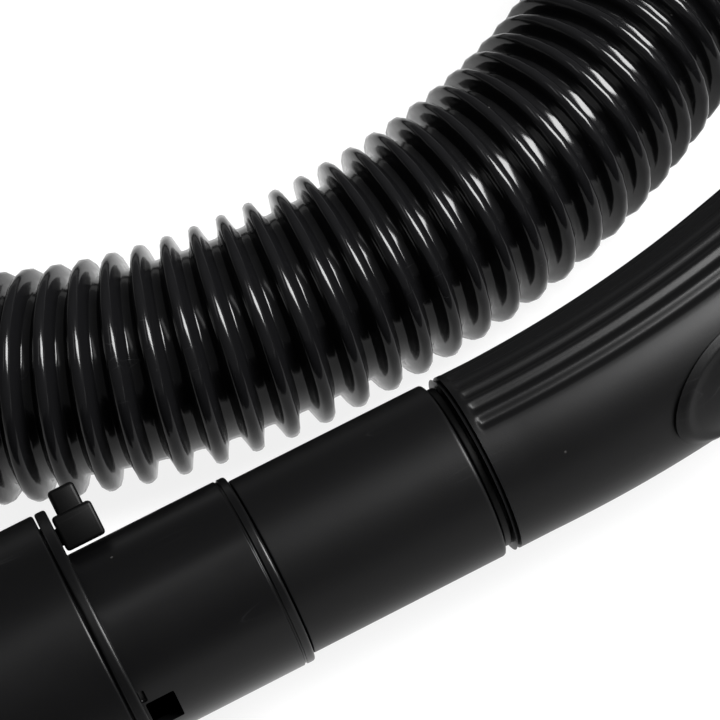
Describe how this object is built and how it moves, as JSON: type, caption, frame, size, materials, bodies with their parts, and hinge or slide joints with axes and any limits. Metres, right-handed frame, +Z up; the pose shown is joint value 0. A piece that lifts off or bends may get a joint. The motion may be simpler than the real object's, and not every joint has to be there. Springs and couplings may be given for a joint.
{
  "type": "vacuum cleaner hose with handle",
  "caption": "Spiral-ribbed suction hose with swivelling end cuffs, a curved ridged handle with bleed slide, a wand end with latch collar and a tapered machine connector.",
  "frame": {"origin": "on the surface it lies on, under the middle of the handle's box (the hose and its cuffs are left out of that box)", "axes": "+X along the straight wand from the tool socket towards the grip, +Y towards the inside of the grip's bend, +Z up"},
  "size_m": [0.5083, 0.5087, 0.056],
  "materials": {
    "hose_vinyl": "glossy black flexible vinyl",
    "cuff_plastic": "satin black moulded plastic",
    "grip_plastic": "satin black moulded plastic with a fine grain",
    "tube_plastic": "semi-gloss black moulded plastic",
    "collar_plastic": "satin black moulded plastic",
    "latch_plastic": "satin black moulded plastic",
    "ring_plastic": "dark grey low-friction plastic",
    "seal_rubber": "black rubber",
    "spring_steel": "bare spring steel"
  },
  "bodies": {
    "hose": {"flexible_hose": "hose_vinyl", "handle_end_cuff": "cuff_plastic", "machine_end_cuff": "cuff_plastic", "cuff_snap_ring": "ring_plastic", "cuff_o_ring": "seal_rubber", "machine_snap_ring": "ring_plastic", "machine_o_ring": "seal_rubber"},
    "grip": {"grip_shell": "grip_plastic"},
    "bleed": {"bleed_slide": "grip_plastic", "bleed_keeper": "ring_plastic"},
    "wand": {"wand_sleeve": "tube_plastic", "swivel_washer": "ring_plastic", "sleeve_snap_ring": "ring_plastic", "sleeve_o_ring": "seal_rubber", "outlet_tube": "tube_plastic", "tool_socket": "tube_plastic", "tool_lip_seal": "seal_rubber", "collar_shell": "collar_plastic", "collar_rim_ring": "collar_plastic", "latch_spring": "spring_steel"},
    "latch": {"release_latch": "latch_plastic"},
    "machine": {"machine_connector": "cuff_plastic", "connector_seal": "seal_rubber"}
  },
  "joints": [
    {"name": "handle_swivel", "type": "hinge", "parent": "hose", "child": "grip", "pos_m": [0.13832, 0.03381, 0.028], "axis": [0.809, 0.5878, 0], "continuous": true},
    {"name": "wand_swivel", "type": "hinge", "parent": "grip", "child": "wand", "pos_m": [-0.01892, -0.0215, 0.028], "axis": [1, 0, 0], "continuous": true},
    {"name": "bleed_slide_travel", "type": "hinge", "parent": "grip", "child": "bleed", "pos_m": [-0.01092, 0.2035, 0.028], "axis": [0, 0, 1], "range_deg": [0, 1.88]},
    {"name": "latch_travel", "type": "slide", "parent": "wand", "child": "latch", "axis": [1, 0, 0], "range_m": [0, 0.004], "stiffness_N_per_m": 300, "springref_m": -0.003, "deforming": ["latch_spring"]},
    {"name": "machine_swivel", "type": "hinge", "parent": "hose", "child": "machine", "pos_m": [0.13898, 0.3045, 0.028], "axis": [0, 1, 0], "continuous": true}
  ]
}
